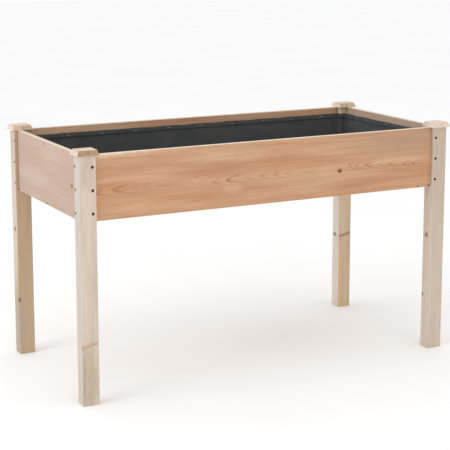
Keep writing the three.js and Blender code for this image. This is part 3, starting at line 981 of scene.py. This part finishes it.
def headShape(look):
    # Profile turned round z: the shank's end inside the timber, the head's rim, its crown and the hollow.
    around = 14
    radius, proud, hollow = look["radius"], look["proud"], look["hollow"]
    profile = [
        (radius * 0.45, -0.004),
        (radius * 0.97, -0.0008),
        (radius, proud * 0.4),
        (radius * 0.86, proud),
    ]
    if hollow:
        profile += [(radius * 0.46, proud), (radius * 0.38, proud - hollow)]
    else:
        profile += [(radius * 0.45, proud * 1.25)]
    profile = np.array(profile)
    angles = np.arange(around) * 2 * math.pi / around
    ring = np.stack([np.cos(angles), np.sin(angles)], 1)
    flat = profile[:, 0, None, None] * ring[None]
    height = np.broadcast_to(profile[:, 1, None, None], flat.shape[:2] + (1,))
    points = np.concatenate([flat, height], 2).reshape(-1, 3)
    here, after = np.arange(around), (np.arange(around) + 1) % around
    under, over, last = len(points), len(points) + 1, len(points) - around
    fans = np.concatenate([
        np.stack([np.full(around, under), after, here], 1),
        np.stack([np.full(around, over), last + here, last + after], 1)])
    poles = np.array([[0, 0, profile[0, 1]], [0, 0, profile[-1, 1]]])
    return np.concatenate([points, poles]), gridFaces(len(profile), around), fans


def placeHeads(name, look, spots, material):
    # One mesh with a copy of the head at every spot's place, its z axis along the spot's way.
    points, quads, fans = headShape(look)
    copies = []
    for number, (place, way) in enumerate(spots):
        spin = Matrix.Rotation(number * 2.4, 3, "Z")
        turn = Vector(way).to_track_quat("Z", "Y").to_matrix() @ spin
        copies.append(points @ np.array(turn).T + np.array(place))
    faces = repeatFaces(quads, len(copies), len(points)) + repeatFaces(fans, len(copies), len(points))
    return makePiece(name, np.concatenate(copies), faces, material, smooth=False)


def longAxis(low, high):
    return 0 if high.x - low.x > high.y - low.y else 1


def faceSpot(low, high, side, step, level):
    # A place on the box's long face towards side, at step along it, and the way that face looks.
    along = longAxis(low, high)
    place, way = [0, 0, level], [0, 0, 0]
    place[along] = step
    place[1 - along] = (high if side > 0 else low)[1 - along]
    way[1 - along] = side
    return place, way


boardNails = {
    "above": 0.0042,            # metres over the board's lower edge
    "rows": {                   # the post they start from, metres from it, and whether one is in the middle
        "panel_front": ("post_front_right", (0.0073, 0.0464), False),
        "panel_rear": ("post_rear_left", (0.0073, 0.0464), False),
        "panel_left": ("post_rear_left", (0.0050,), True),
        "panel_right": ("post_front_right", (0.0050,), True),
    },
}


def boardNailSpots(look):
    # On each board's outer face, counted from the side of the post that looks at the board.
    spots = []
    for nodeName, (postName, distances, middle) in look["rows"].items():
        low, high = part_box(nodeName)
        postLow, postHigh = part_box(postName)
        along = longAxis(low, high)
        side = math.copysign(1, (low + high)[1 - along])
        fromHigh = (postLow + postHigh)[along] > (low + high)[along]
        steps = [postLow[along] - d if fromHigh else postHigh[along] + d for d in distances]
        steps += [(low[along] + high[along]) / 2] if middle else []
        spots += [faceSpot(low, high, side, step, low.z + look["above"]) for step in steps]
    return spots


placeHeads("board_nails", headLooks["boardNail"], boardNailSpots(boardNails), metals["nailSteel"])

ledgerScrews = {"pitch": 0.24, "fromEnd": 0.05}


def ledgerScrewSpots(look):
    # Equal steps between two end distances, on each ledger's inner face.
    spots = []
    for nodeName in namesFrom("ledger_"):
        low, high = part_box(nodeName)
        along = longAxis(low, high)
        inward = -math.copysign(1, (low + high)[1 - along])
        count = max(2, int(round((high[along] - low[along]) / look["pitch"])))
        steps = np.linspace(low[along] + look["fromEnd"], high[along] - look["fromEnd"], count)
        spots += [faceSpot(low, high, inward, step, (low.z + high.z) / 2) for step in steps.tolist()]
    return spots


placeHeads("ledger_screws", headLooks["ledgerScrew"], ledgerScrewSpots(ledgerScrews),
           metals["screwCoat"])

slatNails = {"fromSide": 0.25, "jitter": 0.004, "sunk": 0.0002}     # a share of the slat's width; metres


def slatNailSpots(look):
    # Two nails in each slat end, over the middle of the ledger below.
    spots = []
    random = np.random.default_rng(11)
    levels = [sum(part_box(name), Vector()).y / 2 for name in ("ledger_front", "ledger_rear")]
    for nodeName in namesFrom("slat_"):
        low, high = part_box(nodeName)
        for y in levels:
            for share in (look["fromSide"], 1 - look["fromSide"]):
                shift = random.uniform(-look["jitter"], look["jitter"], 2)
                x = low.x + share * (high.x - low.x)
                spots.append(((x + shift[0], y + shift[1], high.z - look["sunk"]), (0, 0, 1)))
    return spots


placeHeads("slat_nails", headLooks["slatNail"], slatNailSpots(slatNails), metals["nailSteel"])

stapleLook = {
    "crown": 0.0102,         # metres, outside to outside
    "leg": 0.006,
    "wire": 0.00055,         # radius
    "bend": 0.0010,
    "below": 0.0075,         # under the rim
    "uneven": 0.001,         # up or down from there
    "proud": 0.0002,
    "tilt": 0.35,            # radians either way
    "straight": 0.02,        # how much the rim may turn near a staple
}


def stapleShape(look):
    # A round wire swept along leg, shoulder, crown, shoulder, leg. Its ends are flat.
    half, leg, bend = look["crown"] / 2, look["leg"], look["bend"]
    left = [(-half, -leg), (-half, -bend), (bend / 2 - half, 0)]
    path = np.array(left + [(-x, y) for x, y in reversed(left)])
    ahead = np.gradient(path, axis=0)
    ahead /= np.linalg.norm(ahead, axis=1)[:, None]
    sides = 6
    angles = np.arange(sides) * 2 * math.pi / sides
    across = np.cos(angles)[None, :, None] * np.stack([-ahead[:, 1], ahead[:, 0]], 1)[:, None]
    wire = path[:, None] + look["wire"] * across
    up = np.broadcast_to(look["wire"] * np.sin(angles)[None, :, None], wire.shape[:2] + (1,))
    points = np.concatenate([wire, up], 2).reshape(-1, 3)
    ends = np.array([np.arange(sides)[::-1], len(points) - sides + np.arange(sides)])
    return points, gridFaces(len(path), sides), ends


def makeStaples(look, rim):
    # One staple at each pitch of the rim, on the hem's inner face, where the rim runs straight.
    points, quads, ends = stapleShape(look)
    offset = 2 * linerLook["hemRadius"] + linerLook["cloth"] / 2 + look["proud"]
    copies = []
    random = np.random.default_rng(5)
    for place in np.arange(0, rim["places"][-1], rim["pitch"]):
        near = int(np.argmin(np.abs(rim["places"] - place)))
        inward = rim["inward"][near]
        nearby = rim["inward"][np.arange(near - 6, near + 7) % len(rim["inward"])]
        if np.abs(nearby - inward).max() > look["straight"]:
            continue
        tangent = np.array([inward[1], -inward[0]])
        turn = random.uniform(-look["tilt"], look["tilt"])
        along = points[:, 0] * math.cos(turn) - points[:, 2] * math.sin(turn)
        rise = points[:, 0] * math.sin(turn) + points[:, 2] * math.cos(turn)
        flat = rim["line"][near] + inward * offset + along[:, None] * tangent + points[:, 1:2] * inward
        level = rim["top"] - look["below"] + random.uniform(-look["uneven"], look["uneven"]) + rise
        copies.append(np.concatenate([flat, level[:, None]], 1))
    faces = repeatFaces(quads, len(copies), len(points)) + repeatFaces(ends, len(copies), len(points))
    makePiece("liner_staples", np.concatenate(copies), faces, metals["stapleSteel"])


makeStaples(stapleLook, rim)
print("small fasteners placed")


# Lights and floor: a white studio with a soft key from the left.

studio = {
    "sky": 1.0,
    "floorSize": 40,
    "lights": [
        # name, place, size, power, colour
        ("keyLight", (-4.2, -0.6, 2.6), 2.6, 55, (0.90, 0.96, 1.0)),
        ("frontLight", (0.4, -4.8, 1.6), 3.0, 30, (1.0, 0.95, 0.88)),
    ],
}


def makeStudio(look):
    scene = bpy.context.scene
    scene.view_settings.view_transform = "Standard"
    scene.view_settings.look = "None"
    world = bpy.data.worlds.new("studioWorld")
    scene.world = world
    world.use_nodes = True
    background = world.node_tree.nodes["Background"]
    background.inputs["Color"].default_value = (1, 1, 1, 1)
    background.inputs["Strength"].default_value = look["sky"]
    centre = (cadLow + cadHigh) / 2
    for name, place, size, power, colour in look["lights"]:
        data = bpy.data.lights.new(name, "AREA")
        data.size = size
        data.energy = power
        data.color = colour
        light = bpy.data.objects.new(name, data)
        light.location = place
        light.rotation_euler = (centre - Vector(place)).to_track_quat("-Z", "Y").to_euler()
        scene.collection.objects.link(light)
    half = look["floorSize"] / 2
    corners = np.array([(-half, -half, 0), (half, -half, 0), (half, half, 0), (-half, half, 0)], float)
    corners[:, 2] = cadLow.z
    mesh = bpy.data.meshes.new("studioFloor")
    mesh.from_pydata(corners.tolist(), [], [(0, 1, 2, 3)])
    floor = bpy.data.objects.new("studioFloor", mesh)
    scene.collection.objects.link(floor)
    material, tree, shader, texture = newMaterial("floorPaint")
    cloud = smoothStep(tree, noise(tree, texture["Object"], (1.5, 1.5, 1.5), detail=2), 0.3, 0.7)
    paint = mixColour(tree, cloud, (0.94, 0.94, 0.94), (0.96, 0.96, 0.96))
    setInput(tree, shader.inputs["Base Color"], paint)
    shader.inputs["Roughness"].default_value = 0.9
    shader.inputs["Specular IOR Level"].default_value = 0.1
    mesh.materials.append(material)


makeStudio(studio)
print("studio lit")
